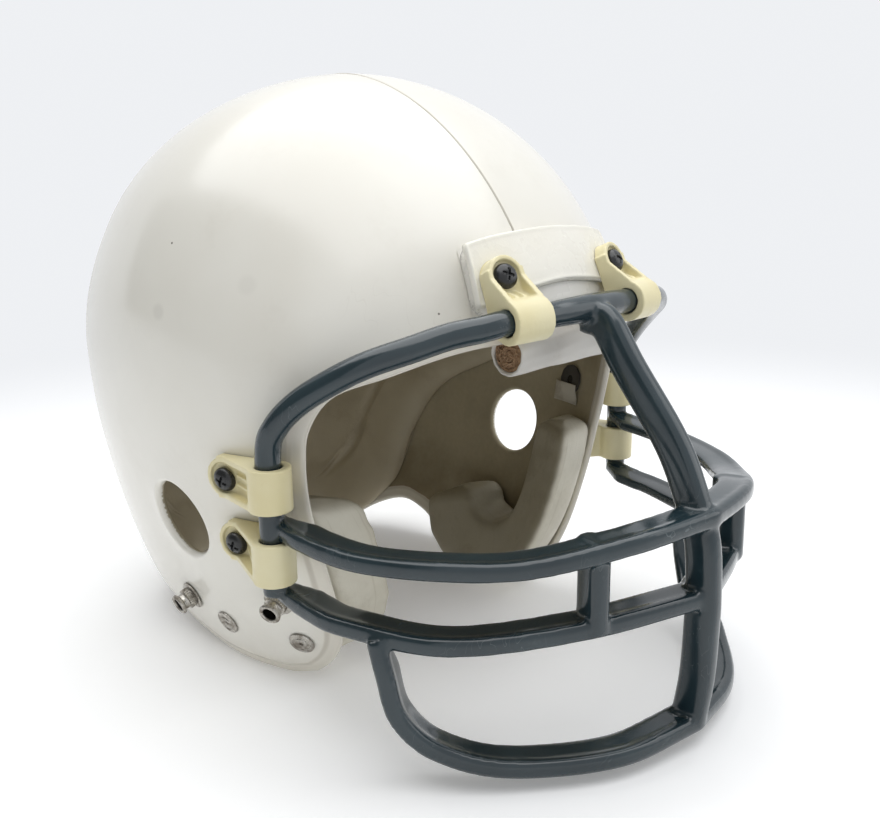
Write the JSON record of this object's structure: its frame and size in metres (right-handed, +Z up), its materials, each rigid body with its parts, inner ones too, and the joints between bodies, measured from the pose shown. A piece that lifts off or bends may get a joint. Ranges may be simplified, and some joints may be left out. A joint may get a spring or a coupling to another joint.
{
  "type": "american football helmet",
  "caption": "Hard-shell football helmet with a moulded face guard on brow and side clamps, crown liner, snap-in jaw pads, brow bumper and chin strap posts.",
  "frame": {"origin": "on the floor, under the middle of the helmet's length and width", "axes": "the wearer faces -Y, +X is the wearer's left, +Z is up"},
  "size_m": [0.2426, 0.3428, 0.2601],
  "materials": {
    "shell": "aged ivory-white moulded plastic, glossy with fine scuffs",
    "face_guard": "dark slate dipped nylon, satin",
    "clamp": "aged ivory nylon, satin",
    "screw": "black oxide steel",
    "nut": "dark plated steel",
    "stud": "aged nickel plate",
    "bumper": "soft white moulded plastic",
    "plate": "white plastic plate, glossy, bare",
    "vinyl": "off-white vinyl skin over foam, matte",
    "foam": "brown open-cell foam"
  },
  "bodies": {
    "helmet": {"shell": "shell", "front_bumper": "bumper", "name_plate": "plate", "front_roll_cover": "vinyl", "front_roll_core": "foam", "crown_liner": "vinyl", "facemask": "face_guard", "right_rear_pad_stud": "stud", "right_front_pad_stud": "stud", "left_rear_pad_stud": "stud", "left_front_pad_stud": "stud", "right_rear_strap_post": "stud", "right_front_strap_post": "stud", "left_rear_strap_post": "stud", "left_front_strap_post": "stud", "right_rear_strap_post_screw": "stud", "right_front_strap_post_screw": "stud", "left_rear_strap_post_screw": "stud", "left_front_strap_post_screw": "stud", "right_upper_clamp": "clamp", "right_lower_clamp": "clamp", "right_top_clamp": "clamp", "left_upper_clamp": "clamp", "left_lower_clamp": "clamp", "left_top_clamp": "clamp", "right_upper_clamp_screw": "screw", "right_lower_clamp_screw": "screw", "right_top_clamp_screw": "screw", "left_upper_clamp_screw": "screw", "left_lower_clamp_screw": "screw", "left_top_clamp_screw": "screw", "right_upper_clamp_nut": "nut", "right_lower_clamp_nut": "nut", "right_top_clamp_nut": "nut", "left_upper_clamp_nut": "nut", "left_lower_clamp_nut": "nut", "left_top_clamp_nut": "nut"},
    "right_pad": {"right_jaw_pad": "vinyl", "right_rear_pad_socket": "nut", "right_front_pad_socket": "nut"},
    "left_pad": {"left_jaw_pad": "vinyl", "left_rear_pad_socket": "nut", "left_front_pad_socket": "nut"}
  },
  "joints": [
    {"name": "right_pad_unsnap", "type": "slide", "parent": "helmet", "child": "right_pad", "axis": [0.883, 0.2659, 0.3868], "range_m": [0, 0.03]},
    {"name": "left_pad_unsnap", "type": "slide", "parent": "helmet", "child": "left_pad", "axis": [-0.883, 0.2659, 0.3868], "range_m": [0, 0.03]}
  ]
}
